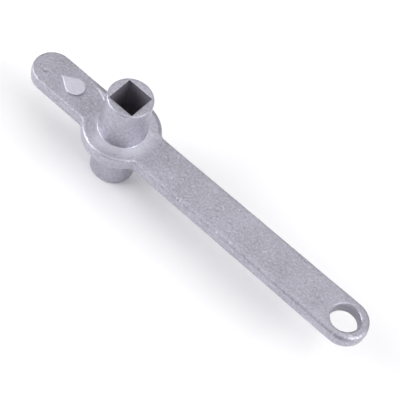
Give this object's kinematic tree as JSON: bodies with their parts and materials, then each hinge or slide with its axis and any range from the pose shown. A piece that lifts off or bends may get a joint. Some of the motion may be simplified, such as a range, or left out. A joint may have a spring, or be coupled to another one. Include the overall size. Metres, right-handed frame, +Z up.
{
  "type": "radiator bleed key",
  "caption": "Flat cast-metal bleed key: a square socket barrel through the eye of a slim lever with a thumb tab and a hanging hole.",
  "frame": {"origin": "centre of the lower socket's mouth, on the lower rim face", "axes": "+Z up the socket axis towards the upper rim, +X along the handle towards the hanging hole, +Y across the lever"},
  "size_m": [0.0772, 0.0144, 0.0217],
  "materials": {
    "cast_lever": "tumbled light-alloy casting, fine matt grain with burnished edges and small scuffs",
    "cast_barrel": "tumbled light-alloy casting, smooth drawn sides and dark socket walls",
    "cast_mark": "raised cast mark, its top rubbed bright"
  },
  "bodies": {
    "root": {"lever": "cast_lever", "socket_barrel": "cast_barrel", "drop_mark": "cast_mark"}
  },
  "joints": []
}
